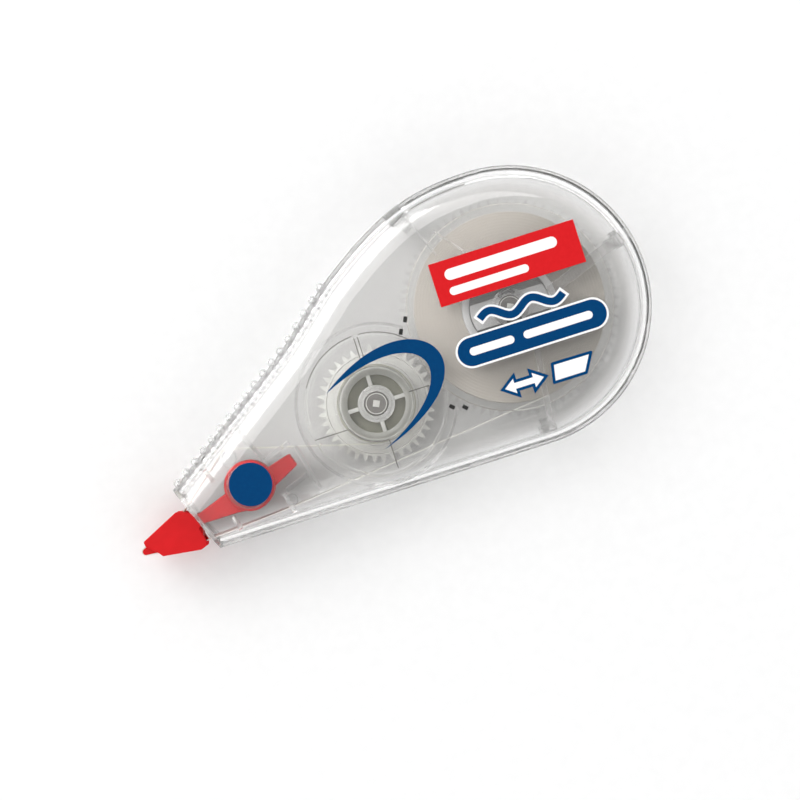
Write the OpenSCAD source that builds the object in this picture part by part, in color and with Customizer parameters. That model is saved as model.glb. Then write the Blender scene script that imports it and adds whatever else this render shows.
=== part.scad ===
// Correction tape roller, lying on its side: a clear two-shell casing round a geared pair of tape
// reels and a red rocking applicator. X runs from the applicator's edge to the rear, Y runs from the
// straight lower edge to the crown, and Z runs through the thickness. The origin is the middle of
// the resting face.

/* [Casing] */
// Radius of the round rear end, which is also half the casing's height
rear_r = 19; // [18.5:0.25:20]
// Distance from the origin to the rear arc's centre, along X
rear_x = 19; // [18.5:0.25:19.5]
// Thickness of the two closed shells
casing_t = 13; // [13:0.25:14]
// Wall thickness of both shells
wall_t = 1.2; // [1:0.1:1.4]
// Width of the rounded edge, seen from the side face
round_w = 4.6; // [4:0.1:4.7]
// Depth of the rounded edge
round_h = 3.2; // [2.8:0.1:3.3]
// Number of grip beads along the sloping flank
bead_count = 18; // [14:1:20]
// Radius of a grip bead
bead_r = 0.62; // [0.5:0.02:0.7]

/* [Reels] */
// Gear module
gear_module = 0.4; // [0.4:0.1:0.4]
// Teeth on the supply gear
supply_teeth = 72; // [72:1:72]
// Teeth on the take-up gear
takeup_teeth = 38; // [38:1:38]
// Outer radius of the wound supply tape
supply_roll_r = 12.8; // [9:0.1:12.9]
// Outer radius of the spent tape on the take-up reel
spent_roll_r = 5.3; // [5.1:0.1:7]
// Tape width
tape_w = 5; // [4.2:0.1:5]
// Thickness drawn for one run of tape
tape_t = 0.12; // [0.1:0.01:0.15]
// Radius of the axle posts
axle_r = 1.6; // [1.4:0.05:1.7]

/* [Applicator] */
// Radius of the boss that the applicator rocks on
boss_r = 3.4; // [3.2:0.05:3.5]
// Radius of the post inside the boss
boss_post_r = 2; // [1.8:0.05:2.2]
// Width of the pressing blade between the two cheeks
blade_w = 5.2; // [5.1:0.05:5.4]
// Thickness of each cheek
cheek_t = 0.6; // [0.5:0.05:0.7]

/* [Hidden] */
$fn = 64;
run_gap = 0.05;        // radial clearance of every running bore
part_z = casing_t / 2; // plane where the two shells meet
tape_z0 = part_z - tape_w / 2;
rear_c = [rear_x, 0];

// Gear pair: the supply axle sits at the rear arc's centre, the take-up axle below and ahead of it.
supply_pitch_r = gear_module * supply_teeth / 2;
takeup_pitch_r = gear_module * takeup_teeth / 2;
takeup_bearing = 198.3;
supply_c = rear_c;
takeup_c = supply_c + (supply_pitch_r + takeup_pitch_r) * [cos(takeup_bearing), sin(takeup_bearing)];
gear_z = 2.2;
gear_t = 1.4;

// Casing outline, counter-clockwise. The apex lies beyond the nose and is cut away by it.
flank_top = [-4.2, 10.3];
flank_bend = [-13.6, 2.5];
apex = [-44.8, -rear_r];
nose_top = [-31.25, -9.8];
nose_base = [-27.54, -rear_r];
nose_tilt = atan2(nose_top[0] - nose_base[0], nose_top[1] - nose_base[1]);

function bezier(a, b, c, d, t) =
  pow(1 - t, 3) * a + 3 * t * pow(1 - t, 2) * b + 3 * t * t * (1 - t) * c + pow(t, 3) * d;
function crown() = [
  for (i = [1:11]) bezier(rear_c + [0, rear_r], [10.5, 19], [5.5, 17.3], flank_top, i / 11)];
function neck() = [for (i = [1:5]) bezier(flank_top, [-7.4, 7.7], [-10.4, 4.7], flank_bend, i / 5)];
function outline() = concat(
  [apex],
  [for (a = [-90:7.5:90]) rear_c + rear_r * [cos(a), sin(a)]],
  crown(),
  neck());

// Moves every point of a closed outline inwards by d, along the mitre of its two edges.
function unit(v) = v / norm(v);
function left(v) = [-v[1], v[0]];
function inset(pts, d) = [
  for (i = [0:len(pts) - 1])
    let (n = len(pts),
         a = left(unit(pts[i] - pts[(i + n - 1) % n])),
         b = left(unit(pts[(i + 1) % n] - pts[i])))
    pts[i] + d * (a + b) / (1 + a * b)];

// Front cup: rings run down the outside from the face, then back up the inside to the ceiling.
fillet_steps = 6;
function outer_profile() = [
  for (i = [fillet_steps:-1:0])
    let (t = 90 * i / fillet_steps)
    [round_w * (1 - cos(t)), casing_t - round_h * (1 - sin(t))]];
function inner_profile() = [
  for (i = [0:fillet_steps])
    let (t = 90 * i / fillet_steps)
    [round_w - (round_w - wall_t) * cos(t), casing_t - round_h + (round_h - wall_t) * sin(t)]];
function cup_profile() = concat(outer_profile(), [[0, part_z], [wall_t, part_z]], inner_profile());
// Solid cup whose surface runs halfway through the wall.
core_gap = wall_t / 2;
function core_profile() = concat(
  [for (p = outer_profile()) p + core_gap * [1, -1]],
  [[core_gap, part_z]]);

// Solid swept round the outline: each profile point is a distance inwards and a height.
module skin(profile) {
  base = outline();
  n = len(base);
  rings = len(profile);
  points = [for (p = profile, q = inset(base, p[0])) [q[0], q[1], p[1]]];
  sides = [
    for (j = [0:rings - 2], i = [0:n - 1])
      let (a = j * n + i, b = j * n + (i + 1) % n)
      each [[a, b, b + n], [a, b + n, a + n]]];
  // The caps start at the rear arc's lowest point, which sees the whole outline.
  top = [for (i = [0:n - 1]) (n + 1 - i) % n];
  bottom = [for (i = [0:n - 1]) (rings - 1) * n + (i + 1) % n];
  polyhedron(points = points, faces = concat([top], sides, [bottom]));
}
module cup() {
  skin(cup_profile());
}

module back_side() {
  translate([0, 0, casing_t]) mirror([0, 0, 1]) children();
}

// Half-space ahead of the nose plane, moved forwards (negative) or back by shift.
module ahead_of_nose(shift = 0) {
  translate([nose_base[0], nose_base[1], -1]) rotate(-nose_tilt)
    translate([-30 + shift, -5, 0]) cube([30, 30, casing_t + 2]);
}

// Grip beads on one shell's part of the flank.
bead_x0 = -30.4;
bead_x1 = -4.4;
bead_z0 = round_h;
function flank_line() = concat([[apex[0], apex[1]]], [for (p = neck()) p], [flank_top]);
function flank_y(x) = lookup(x, flank_line());
module beads(z0, h) {
  for (i = [0:bead_count - 1]) {
    x = bead_x0 + (bead_x1 - bead_x0) * i / (bead_count - 1);
    translate([x, flank_y(x), z0]) cylinder(r = bead_r, h = h, $fn = 24);
  }
}

// Straight rib from a to b.
module rib(a, b, w, z0, z1) {
  d = b - a;
  translate([a[0], a[1], z0]) rotate(atan2(d[1], d[0])) translate([0, -w / 2, 0]) cube([norm(d), w, z1 - z0]);
}

module ring(c, r_out, r_in, z0, z1) {
  translate([c[0], c[1], z0]) difference() {
    cylinder(r = r_out, h = z1 - z0);
    translate([0, 0, -1]) cylinder(r = r_in, h = z1 - z0 + 2);
  }
}

module post(c, r, z0, z1) {
  translate([c[0], c[1], z0]) cylinder(r = r, h = z1 - z0);
}

// Where the applicator's post and the tape guides stand.
boss_c = [-21.4, -12.2];
upper_guide = [-23, -7.9];
upper_guide_r = 1.1;
lower_guide = [-16.5, -15.7];
lower_guide_r = 0.8;
ceiling = casing_t - wall_t;

// Snap hooks of the back shell at the rim: angle round the rear arc,
// and how much further out than the rear arc's wall each one stands
clips = [[-90, 0], [15, 0], [124, 1.4]];
clip_r = 16.5;
clip_w = 2.4;
clip_foot_w = 1.4;
module at_clip(clip) {
  translate([rear_c[0], rear_c[1], 0]) rotate(clip[0]) translate([clip[1], 0, 0]) children();
}

// Heights of the fittings. Each starts or ends inside a wall, so that the two join.
foot_z = wall_t - 0.2;
rib_top = ceiling + 0.1;
post_top = ceiling - 0.7;
socket_h = 0.4;
shoulder_r = 2.4;
shoulder_top = 1.8;
boss_post_top = 10.4;
boss_shoulder_top = 3.2;
guide_top = 9.4;
pocket_top = 8.6;
clip_z = 4.6;
clip_h = 4.6;
guard_r = 10.9;
guard_t = 0.45;
guard_gap = [-20.5, 53];
pocket_walls = [[[-18.2, -9.95], [-16.2, -9.4], 0.6], [[-16.9, -14.35], [-13.6, -13.2], 0.7]];

// Ribs under the front shell's ceiling, from point to point: those over the supply reel with their
// widths, then the cross ribs in the nose above the tape
reel_rib_z = 10.5;
reel_ribs = [
  [[24.5, 0.3], [35.7, 4.35], 1.5], [[20.7, -6.6], [19.4, -17.2], 0.8],
  [[15.5, 8.7], [12.3, 12.7], 0.3], [[11.7, 9.5], [9.2, 15.6], 0.3]];
nose_rib_z = 9.8;
nose_rib_w = 0.6;
nose_ribs = [
  [[-20.6, -4.6], [-18.4, -9.6]], [[-18.4, -9.6], [-14.6, -8.3]], [[-13.9, -9], [-12.4, -15.3]],
  [[-26.3, -8.6], [-25.6, -10.4]], [[-17.2, -14.7], [-16.6, -17.2]], [[-24.6, -15.4], [-24.1, -17.2]]];

// Slot through the nose wall, from its lower end upwards, with some room on both sides of the tape
slot_start = 1;
slot_l = 7.9;
slot_room = 0.9;
module nose_slot() {
  translate([nose_base[0], nose_base[1], tape_z0 - slot_room]) rotate(-nose_tilt)
    translate([-1, slot_start, 0]) cube([3.5, slot_l, tape_w + 2 * slot_room]);
}

// The nose is closed by a thin wall that follows the cut, with a slot for stem and tape.
nose_wall_t = 1;
module nose_wall() {
  difference() {
    intersection() {
      skin(core_profile());
      ahead_of_nose(nose_wall_t);
    }
    ahead_of_nose();
    nose_slot();
  }
}

module back_shell() {
  color([0.86, 0.88, 0.88, 0.35]) {
    difference() {
      union() {
        back_side() {
          cup();
          nose_wall();
        }
        beads(bead_z0, part_z - bead_z0);
      }
      ahead_of_nose();
    }
    // Axle posts and the applicator's post, each with a shoulder at its foot
    for (c = [supply_c, takeup_c]) {
      post(c, axle_r, foot_z, post_top);
      post(c, shoulder_r, foot_z, shoulder_top);
    }
    post(boss_c, boss_post_r, foot_z, boss_post_top);
    post(boss_c, boss_post_r + 0.8, foot_z, boss_shoulder_top);
    // Tape guides
    post(upper_guide, upper_guide_r, foot_z, guide_top);
    post(lower_guide, lower_guide_r, foot_z, guide_top);
    // Walls of the pocket that stops the applicator's tail
    for (r = pocket_walls) rib(r[0], r[1], r[2], foot_z, pocket_top);
    // Snap hooks, each on its own foot
    for (c = clips) at_clip(c) {
      translate([clip_r - 0.9, -clip_foot_w / 2, foot_z]) cube([2, clip_foot_w, clip_z + 0.9]);
      translate([clip_r, -clip_w / 2, clip_z]) cube([1, clip_w, clip_h]);
    }
  }
}

// Guard wall over the take-up reel, open towards the supply reel
module guard() {
  difference() {
    ring(takeup_c, guard_r, guard_r - guard_t, post_top, rib_top);
    translate([takeup_c[0], takeup_c[1], post_top - 1]) linear_extrude(3)
      polygon(concat([[0, 0]], [for (a = guard_gap) 2 * guard_r * [cos(a), sin(a)]]));
  }
}

module front_shell() {
  color([0.86, 0.88, 0.88, 0.35]) {
    difference() {
      union() {
        cup();
        beads(part_z, casing_t - bead_z0 - part_z);
        nose_wall();
      }
      ahead_of_nose();
    }
    // Sockets that take the post ends
    ring(supply_c, shoulder_r + 0.1, axle_r + run_gap, post_top - socket_h, rib_top);
    ring(takeup_c, shoulder_r + 0.1, axle_r + run_gap, post_top - socket_h + 0.2, rib_top);
    ring(boss_c, boss_r - 0.4, boss_post_r + run_gap, boss_post_top - 0.5, rib_top);
    guard();
    for (r = reel_ribs) rib(r[0], r[1], r[2], reel_rib_z, rib_top);
    for (r = nose_ribs) rib(r[0], r[1], nose_rib_w, nose_rib_z, rib_top);
  }
}

// Involute gear outline, with flanks thinned by half the backlash on each side.
backlash = 0.12;
pressure_angle = 20;
function involute_angle(rb, r) = let (t = sqrt(max(0, r * r / (rb * rb) - 1))) t * 180 / PI - atan(t);
function gear_points(teeth) =
  let (rp = gear_module * teeth / 2,
       rb = rp * cos(pressure_angle),
       ra = rp + 0.92 * gear_module,
       rf = rp - 1.2 * gear_module,
       half = 90 / teeth - backlash / 2 / rp * 180 / PI + involute_angle(rb, rp),
       radii = [max(rb, rf + 0.05), rp, ra])
  [for (i = [0:teeth - 1])
    let (mid = 360 * i / teeth)
    each concat(
      [[rf, mid - half]],
      [for (r = radii) [r, mid - half + involute_angle(rb, r)]],
      [for (k = [2:-1:0]) [radii[k], mid + half - involute_angle(rb, radii[k])]],
      [[rf, mid + half]])];
module gear_2d(teeth, turn) {
  polygon([for (p = gear_points(teeth)) p[0] * [cos(p[1] + turn), sin(p[1] + turn)]]);
}

// Round groove in a gear's upper face, which leaves a thin web between hub and toothed rim.
web_t = 0.7;
supply_groove = [13.2, 6.7];
takeup_groove = [6.8, 5.6];
module groove(radii) {
  translate([0, 0, gear_z + web_t]) difference() {
    cylinder(r = radii[0], h = gear_t);
    translate([0, 0, -1]) cylinder(r = radii[1], h = gear_t + 2);
  }
}

// A tooth of the supply gear lies on the line of centres, and a gap of the take-up gear faces it.
sleeve_z = 1.9;
sleeve_top = 8.3;
bead_ring = [5.2, 4.4];
bead_ring_h = 0.6;
module supply_gear() {
  color([0.72, 0.75, 0.7, 0.6]) translate([supply_c[0], supply_c[1], 0]) difference() {
    union() {
      difference() {
        translate([0, 0, gear_z]) linear_extrude(gear_t) gear_2d(supply_teeth, takeup_bearing);
        groove(supply_groove);
      }
      translate([0, 0, sleeve_z]) cylinder(r = shoulder_r, h = sleeve_top - sleeve_z);
      // Low bead that the core turns on
      translate([0, 0, gear_z + gear_t - 0.1]) difference() {
        cylinder(r = bead_ring[0], h = bead_ring_h + 0.1);
        translate([0, 0, -1]) cylinder(r = bead_ring[1], h = bead_ring_h + 2);
      }
    }
    translate([0, 0, -1]) cylinder(r = axle_r + run_gap, h = casing_t);
  }
}

// Flat bar with curved shoes that rub inside the core, so the gear can slip on the reel.
shoe_r = 5.35;
shoe_z = 8.35;
shoe_t = 1.3;
bar_h = 3.5;
flex_slot_x = 3.6;
module clutch_spring() {
  color([0.9, 0.9, 0.9, 0.7]) translate([supply_c[0], supply_c[1], shoe_z]) difference() {
    intersection() {
      cylinder(r = shoe_r, h = shoe_t);
      translate([-2 * shoe_r, -bar_h / 2, -1]) cube([4 * shoe_r, bar_h, 4]);
    }
    translate([0, 0, -1]) cylinder(r = axle_r + run_gap, h = 4);
    // Slots that let each shoe flex
    for (s = [-1, 1]) translate([s * flex_slot_x - 0.35, -1, -1]) cube([0.7, 2, 4]);
  }
}

core_r_in = 5.45;
core_r_out = 6.4;
module supply_core() {
  color([0.85, 0.87, 0.85, 0.6])
    ring(supply_c, core_r_out, core_r_in, gear_z + gear_t + 0.2, tape_z0 + tape_w + 0.7);
}

flange_z = tape_z0 + tape_w + 0.15;
flange_r = 13.9;
module supply_flange() {
  color([0.85, 0.85, 0.82, 0.4]) ring(supply_c, flange_r, core_r_out, flange_z, flange_z + 0.55);
}

module supply_tape_roll() {
  color([0.86, 0.83, 0.78]) ring(supply_c, supply_roll_r, core_r_out, tape_z0, tape_z0 + tape_w);
}

hub_r_out = 4.85;
hub_r_in = 3.9;
hub_ring_r = 2.5;
// A gap faces the supply gear, whose centre lies half a turn from the take-up bearing.
takeup_turn = takeup_bearing + 180 + 180 / takeup_teeth;
module takeup_gear() {
  color([0.8, 0.82, 0.82, 0.5]) translate([takeup_c[0], takeup_c[1], 0]) difference() {
    union() {
      difference() {
        translate([0, 0, gear_z]) linear_extrude(gear_t) gear_2d(takeup_teeth, takeup_turn);
        groove(takeup_groove);
      }
      translate([0, 0, sleeve_z]) cylinder(r = shoulder_r, h = 2);
    }
    translate([0, 0, -1]) cylinder(r = axle_r + run_gap, h = casing_t);
  }
}

hub_z0 = gear_z + gear_t;
hub_z1 = 9.95;
hub_web_z = 7.2;
spoke_w = 0.55;
module takeup_hub() {
  color([0.8, 0.8, 0.76]) {
    ring(takeup_c, hub_r_out, hub_r_in, hub_z0, hub_z1);
    ring(takeup_c, hub_ring_r, axle_r + run_gap, hub_z0 + 0.4, hub_z1);
    // Web and four spokes
    ring(takeup_c, hub_r_in + 0.2, hub_ring_r - 0.2, hub_web_z, hub_web_z + 0.8);
    for (a = [0:90:270]) translate([takeup_c[0], takeup_c[1], hub_web_z + 0.6]) rotate(a)
      translate([hub_ring_r - 0.3, -spoke_w / 2, 0])
        cube([hub_r_in - hub_ring_r + 0.6, spoke_w, hub_z1 - hub_web_z - 0.6]);
  }
}

takeup_flange_r = 9.65;
takeup_flange_z = hub_z1;
takeup_flange_t = 0.6;
panel_depth = 0.25;
// Inner corner of each quarter panel, as distances from the two spokes' middle lines
panels = [[0.25, 0.25], [0.25, 0.25], [0.25, 2.2], [0.25, 0.25]];
// Clear disc with a raised rim, four shallow quarter panels and a bore that sits on the hub.
module takeup_flange() {
  color([0.9, 0.9, 0.9, 0.35]) translate([takeup_c[0], takeup_c[1], takeup_flange_z]) difference() {
    cylinder(r = takeup_flange_r, h = takeup_flange_t);
    translate([0, 0, -1]) cylinder(r = hub_r_in, h = 3);
    for (q = [0:3]) rotate(90 * q) translate([0, 0, takeup_flange_t - panel_depth]) difference() {
      intersection() {
        cylinder(r = takeup_flange_r - 0.5, h = 1);
        translate([panels[q][0], panels[q][1], 0]) cube([takeup_flange_r, takeup_flange_r, 1]);
      }
      translate([0, 0, -1]) cylinder(r = hub_r_out + 0.25, h = 3);
    }
  }
}

module spent_tape_roll() {
  color([0.62, 0.63, 0.56]) ring(takeup_c, spent_roll_r, hub_r_out, tape_z0, tape_z0 + tape_w);
}

// Common tangent of two circles, on the left (side 1) or right (side -1) of the way from a to b.
function tangent(a, ra, b, rb, side) =
  let (u = unit(b - a), k = (ra - rb) / norm(b - a), n = k * u + side * sqrt(1 - k * k) * left(u))
  [a + ra * n, b + rb * n];

// An open line of points, thickened by t to both sides.
function mitre(p, i) =
  let (n = len(p),
       a = left(unit(p[max(i, 1)] - p[max(i, 1) - 1])),
       b = left(unit(p[min(i + 1, n - 1)] - p[min(i + 1, n - 1) - 1])))
  (a + b) / (1 + a * b);
function strip(p, t) = concat(
  [for (i = [0:len(p) - 1]) p[i] + t / 2 * mitre(p, i)],
  [for (i = [len(p) - 1:-1:0]) p[i] - t / 2 * mitre(p, i)]);
module tape(p) {
  translate([0, 0, tape_z0]) linear_extrude(tape_w) polygon(strip(p, tape_t));
}

tape_off = tape_t / 2 + 0.06;
roll_off = 0.15;

// Blade outline: the pressing edge is the rounded corner furthest forward.
blade = [
  [-29, -15.2], [-29.3, -16.8], [-30.2, -17.45], [-37.15, -16.95], [-37.6, -16.75],
  [-37.7, -16.45], [-37.45, -16.1], [-31.4, -13.45], [-29, -13.8]];
// From below the boss the tape runs along the blade's underside, turns round its edge and comes
// back over the upper guide. Its ends stop short of the fixed runs, because it rocks with the blade.
end_gap = 0.14;
rock_gap = 0.25;
run_on = 4.7;
blade_under = [-30.25, -17.6];
blade_top = [-31.5, -13.35];
edge_line = [[-37.2, -17.1], [-37.72, -16.9], [-37.86, -16.4], [-37.5, -15.95]];
entry_line = tangent(lower_guide, lower_guide_r + tape_off, blade_under, 0, 1);
exit_line = tangent(blade_top, 0, upper_guide, upper_guide_r + tape_off, 1);
function past(a, b, d) = a + d * unit(b - a);
function tip_path() = concat(
  [past(entry_line[0], entry_line[1], run_on + rock_gap), blade_under],
  edge_line,
  [blade_top, past(exit_line[1], exit_line[0], end_gap)]);
module tip_tape() {
  color([0.95, 0.95, 0.93]) tape(tip_path());
}

// Fresh tape leaves the underside of the supply roll, passes below the lower guide and reaches the
// point below the boss where the blade's rocking only slides it along its own line.
feed_line = concat(
  tangent(supply_c, supply_roll_r + roll_off, lower_guide, lower_guide_r + tape_off, 1),
  [past(entry_line[0], entry_line[1], run_on)]);
module feed_tape() {
  color([0.95, 0.95, 0.93]) tape(feed_line);
}

// The spent backing crosses from the upper guide to the underside of the take-up roll.
windup_line = tangent(upper_guide, upper_guide_r + tape_off, takeup_c, -(spent_roll_r + roll_off), 1);
module return_tape() {
  color([0.62, 0.63, 0.56]) tape(windup_line);
}

cheek = [
  [-28.9, -15.3], [-29.5, -15.6], [-29.05, -17.5], [-29.25, -18.15], [-30.1, -18.45],
  [-35.25, -17.75], [-35.65, -17.2], [-37.1, -15.85], [-37.2, -15.15], [-31.9, -12.65],
  [-30.8, -12.9], [-29.2, -13.8]];
stem = [
  [-30, -13.7], [-29, -13.75], [-24.9, -12.3], [-22, -11],
  [-21, -13.5], [-22, -15.4], [-24, -15.2], [-30, -15.2]];
tail = [[-20.4, -10.6], [-18.4, -10.65], [-15.1, -9.75], [-14.5, -11.5], [-18.3, -13.4], [-20, -14]];
stem_w = 4.8;
tail_w = 4;
boss_w = 6;
module applicator_tip() {
  color([0.9, 0.12, 0.16]) difference() {
    union() {
      translate([0, 0, part_z - blade_w / 2]) linear_extrude(blade_w) polygon(blade);
      for (s = [-1, 1]) translate([0, 0, part_z + s * (blade_w + cheek_t) / 2 - cheek_t / 2])
        linear_extrude(cheek_t) polygon(cheek);
      translate([0, 0, part_z - stem_w / 2]) linear_extrude(stem_w) polygon(stem);
      translate([0, 0, part_z - tail_w / 2]) linear_extrude(tail_w) polygon(tail);
      post(boss_c, boss_r, part_z - boss_w / 2, part_z + boss_w / 2);
    }
    post(boss_c, boss_post_r + run_gap, 0, casing_t);
  }
}

// Printed ink areas on the front face
ink_t = 0.04;
panel_c = [20.3, 5.6];
panel_size = [20.2, 5.9];
badge_c = [20.7, -4.2];
badge_size = [20.6, 3.8];
rim_w = 0.28;
module ink(c, a = 0) {
  translate([c[0], c[1], casing_t]) rotate(a) linear_extrude(ink_t) children();
}
module pill(size, grow) {
  h = size[1] + 2 * grow;
  square([size[0] - size[1], h], center = true);
  for (s = [-1, 1]) translate([s * (size[0] - size[1]) / 2, 0]) circle(d = h);
}
module red_panel() {
  color([0.89, 0.13, 0.16]) ink(panel_c) square(panel_size, center = true);
}
// Plain white bars, as a label's lines would lie. Those on the badge are given by middle and length.
bar_t = 1.1;
badge_bar_spans = [[-5.6, 6.2], [3.6, 9.6]];
module panel_bars() {
  color("white") translate([0, 0, ink_t]) {
    ink(panel_c + [-0.6, 0.9]) pill([15.6, 1.5], 0);
    ink(panel_c + [-2.9, -1.35]) pill([11, bar_t], 0);
  }
}
module badge_bars() {
  color("white") translate([0, 0, ink_t])
    for (b = badge_bar_spans) ink(badge_c + [b[0], 0]) pill([b[1], bar_t], 0);
}
module blue_badge() {
  color([0.0, 0.26, 0.46]) ink(badge_c) pill(badge_size, 0);
}
module badge_rim() {
  color("white") ink(badge_c) difference() {
    pill(badge_size, rim_w);
    pill(badge_size, 0.01);
  }
}
// Crescent between two curves that share their ends
swoosh_ends = [[-7.86, -3.66], [-2.66, -13.07]];
swoosh_outer = [[7.09, 7.09], [17.09, -7]];
swoosh_inner = [[7.65, 3.36], [11.87, -6.82]];
swoosh_steps = 32;
function swoosh_edge(pull) = [
  for (i = [0:swoosh_steps]) bezier(swoosh_ends[0], pull[0], pull[1], swoosh_ends[1], i / swoosh_steps)];
module blue_swoosh() {
  back = swoosh_edge(swoosh_outer);
  color([0.0, 0.26, 0.46]) ink([0, 0])
    polygon(concat(swoosh_edge(swoosh_inner), [for (i = [swoosh_steps - 1:-1:1]) back[i]]));
}
dot_c = [-21.05, -12.1];
module blue_dot() {
  color([0.0, 0.26, 0.46]) ink(dot_c) circle(r = 2.9);
}
// Plain wavy stroke over the badge, with a white outline
wave_c = [20.4, -0.35];
wave_l = 11.6;
wave_h = 0.7;
wave_w = 1;
wave_steps = 40;
function wave_line(grow) = [
  for (i = [0:wave_steps])
    let (x = (wave_l + 2 * grow) * (i / wave_steps - 0.5))
    [x, wave_h * sin(720 * x / wave_l)]];
module blue_wave() {
  color([0.0, 0.26, 0.46]) ink(wave_c) polygon(strip(wave_line(0), wave_w));
}
module wave_rim() {
  color("white") ink(wave_c) difference() {
    polygon(strip(wave_line(rim_w), wave_w + 2 * rim_w));
    polygon(strip(wave_line(0.01), wave_w + 0.02));
  }
}
// Pictograms, each a white shape in a blue frame: a piece of tape, and an arrow for its length
icon = [[-2.75, -0.95], [1.35, -0.95], [2.5, 1.05], [-2.35, 1.1]];
icon_c = [24.5, -10.25];
arrow = [
  [2.7, 0], [1.3, 1], [1.3, 0.4], [-1.3, 0.4], [-1.3, 1],
  [-2.7, 0], [-1.3, -1], [-1.3, -0.4], [1.3, -0.4], [1.3, -1]];
arrow_c = [17.7, -10.25];
frame_w = 0.4;
module frame_of(shape) {
  difference() {
    polygon(inset(shape, -frame_w));
    polygon(inset(shape, -0.01));
  }
}
module tape_icon() {
  color("white") ink(icon_c) polygon(icon);
}
module tape_icon_frame() {
  color([0.0, 0.26, 0.46]) ink(icon_c) frame_of(icon);
}
module length_arrow() {
  color("white") ink(arrow_c) polygon(arrow);
}
module length_arrow_frame() {
  color([0.0, 0.26, 0.46]) ink(arrow_c) frame_of(arrow);
}

back_shell();
front_shell();
supply_gear();
clutch_spring();
supply_core();
supply_flange();
supply_tape_roll();
takeup_gear();
takeup_hub();
takeup_flange();
spent_tape_roll();
applicator_tip();
tip_tape();
feed_tape();
return_tape();
red_panel();
panel_bars();
blue_badge();
badge_bars();
badge_rim();
blue_swoosh();
blue_dot();
blue_wave();
wave_rim();
tape_icon_frame();
tape_icon();
length_arrow_frame();
length_arrow();
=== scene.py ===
"""Looks of the correction tape roller: clear moulded shells, geared reels, wound tape and a red applicator.

Lengths are in millimetres in the row frame, and are scaled to metres where a mesh becomes an object.
"""

import math

import bmesh
import bpy
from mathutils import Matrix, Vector


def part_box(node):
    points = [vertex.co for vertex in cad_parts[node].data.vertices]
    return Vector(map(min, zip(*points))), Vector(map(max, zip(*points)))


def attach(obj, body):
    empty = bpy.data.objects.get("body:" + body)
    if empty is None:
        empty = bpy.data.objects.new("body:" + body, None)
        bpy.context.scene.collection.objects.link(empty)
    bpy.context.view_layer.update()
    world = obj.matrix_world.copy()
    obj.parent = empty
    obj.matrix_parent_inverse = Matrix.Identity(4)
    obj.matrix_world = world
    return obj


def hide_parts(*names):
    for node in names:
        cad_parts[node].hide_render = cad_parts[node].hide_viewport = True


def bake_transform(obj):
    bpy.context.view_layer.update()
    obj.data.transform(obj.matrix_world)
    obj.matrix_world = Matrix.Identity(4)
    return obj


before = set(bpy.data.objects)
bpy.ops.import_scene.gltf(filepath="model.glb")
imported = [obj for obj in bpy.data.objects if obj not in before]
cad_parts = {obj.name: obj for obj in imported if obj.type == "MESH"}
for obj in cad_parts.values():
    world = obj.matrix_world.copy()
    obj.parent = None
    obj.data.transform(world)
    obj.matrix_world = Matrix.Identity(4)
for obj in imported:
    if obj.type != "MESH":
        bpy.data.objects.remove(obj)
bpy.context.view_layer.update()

MM = 0.001
WELD = 0.0015  # points of a mesh closer than this become one
scene = bpy.context.scene

# ---------------------------------------------------------------- dimensions


def corners(node):
    """Lowest and highest corner of a CAD node, in millimetres."""
    low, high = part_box(node)
    return Vector(low) / MM, Vector(high) / MM


def axis_of(node):
    """Middle of a round CAD node, seen along Z."""
    low, high = corners(node)
    return (low + high).xy / 2


case_low, case_high = corners("back_shell")
casing_t = corners("front_shell")[1].z
part_z = casing_t / 2
rear_r = (case_high.y - case_low.y) / 2
rear_c = Vector((case_high.x - rear_r, 0))
wall_t = 1.2
round_w = 4.6
round_h = 3.2
ceiling = casing_t - wall_t

supply_c = axis_of("supply_flange")
takeup_c = axis_of("takeup_flange")
boss_c = Vector((-21.4, -12.2))
boss_pin_r = 2.0
upper_guide, upper_guide_r = Vector((-23, -7.9)), 1.1
lower_guide, lower_guide_r = Vector((-16.5, -15.7)), 0.8

roll_low, roll_high = corners("supply_tape_roll")
tape_z = (roll_low.z, roll_high.z)
tape_t = 0.12
supply_roll_r = (roll_high.x - roll_low.x) / 2
roll_low, roll_high = corners("spent_tape_roll")
spent_roll_r = (roll_high.x - roll_low.x) / 2
core_fit = 0.02  # gap between a core and what is wound on it
core_r = (6.4, 5.45)
hub_r = (4.85, 3.9)
hub_ring_r = (2.5, 1.65)
axle_r = 1.6
axle_fit = 0.05

# Casing outline
flank_top = Vector((-4.2, 10.3))
flank_bend = Vector((-13.6, 2.5))
apex = Vector((-44.8, -rear_r))
crown_curve = ((rear_c.x, rear_r), (10.5, 19), (5.5, 17.3), flank_top)
neck_curve = (flank_top, (-7.4, 7.7), (-10.4, 4.7), flank_bend)
nose_top = Vector((-31.25, -9.8))
nose_base = Vector((-27.54, -rear_r))

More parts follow.
